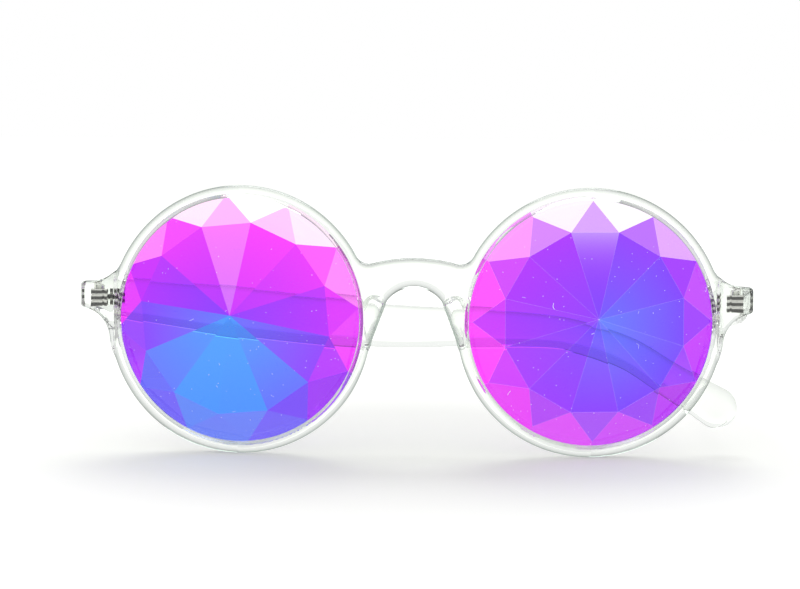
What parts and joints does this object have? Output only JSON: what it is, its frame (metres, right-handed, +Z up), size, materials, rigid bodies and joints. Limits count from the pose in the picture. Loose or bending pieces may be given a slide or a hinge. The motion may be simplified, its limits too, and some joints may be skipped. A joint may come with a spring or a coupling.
{
  "type": "kaleidoscope glasses",
  "caption": "Clear plastic glasses with round rims, faceted prism lenses with a violet to blue iridescent coating, moulded nose pads and folding temples on small metal hinges.",
  "frame": {"origin": "bottom centre of the part's box, on the table that the rims and the open right temple stand on", "axes": "+Z up from the table, -Y the way the lenses face, +X to the viewer's right"},
  "size_m": [0.1386, 0.1457, 0.0551],
  "materials": {
    "clear_plastic": "clear, polished, faint grey-green in its edges",
    "lens_glass": "faceted clear glass with a violet, magenta and blue iridescent coating on its back",
    "hinge_metal": "bright metal",
    "screw_metal": "bright metal"
  },
  "bodies": {
    "front": {"front_frame": "clear_plastic", "lens_left": "lens_glass", "lens_right": "lens_glass", "front_hinge_left": "hinge_metal", "front_hinge_right": "hinge_metal", "hinge_screw_left": "screw_metal", "hinge_screw_right": "screw_metal"},
    "left_temple": {"temple_left": "clear_plastic", "temple_hinge_left": "hinge_metal"},
    "right_temple": {"temple_right": "clear_plastic", "temple_hinge_right": "hinge_metal"}
  },
  "joints": [
    {"name": "left_hinge", "type": "hinge", "parent": "front", "child": "left_temple", "pos_m": [-0.06577, -0.05874, 0.03122], "axis": [0, 0.0403, 0.9992], "range_deg": [0, 91.5]},
    {"name": "right_hinge", "type": "hinge", "parent": "front", "child": "right_temple", "pos_m": [0.06577, -0.05874, 0.03122], "axis": [0, -0.0403, -0.9992], "range_deg": [-88.5, 0]}
  ]
}
